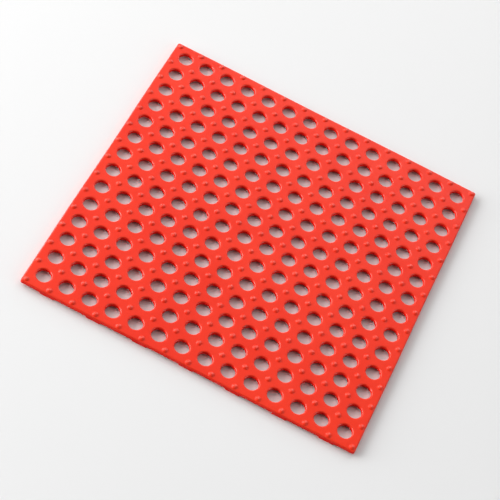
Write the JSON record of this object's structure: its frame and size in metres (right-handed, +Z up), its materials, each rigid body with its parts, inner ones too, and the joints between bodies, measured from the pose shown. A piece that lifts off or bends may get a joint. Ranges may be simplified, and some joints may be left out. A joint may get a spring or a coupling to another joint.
{
  "type": "anti fatigue mat",
  "caption": "Square moulded rubber anti-fatigue drainage mat: thin perforated deck with round drain holes, raised grip nubs on top and short round feet beneath that lift it off the floor.",
  "frame": {"origin": "on the floor under the centre of the mat", "axes": "+Z up out of the standing surface, -Y towards the front edge, +X to the right along it"},
  "size_m": [0.6, 0.6, 0.012],
  "materials": {
    "red_rubber": "satin moulded rubber"
  },
  "bodies": {
    "root": {"perforated_deck": "red_rubber", "field_nubs": "red_rubber", "edge_nubs": "red_rubber", "field_feet": "red_rubber", "front_edge_feet": "red_rubber", "right_edge_feet": "red_rubber", "back_edge_feet": "red_rubber", "left_edge_feet": "red_rubber"}
  },
  "joints": []
}
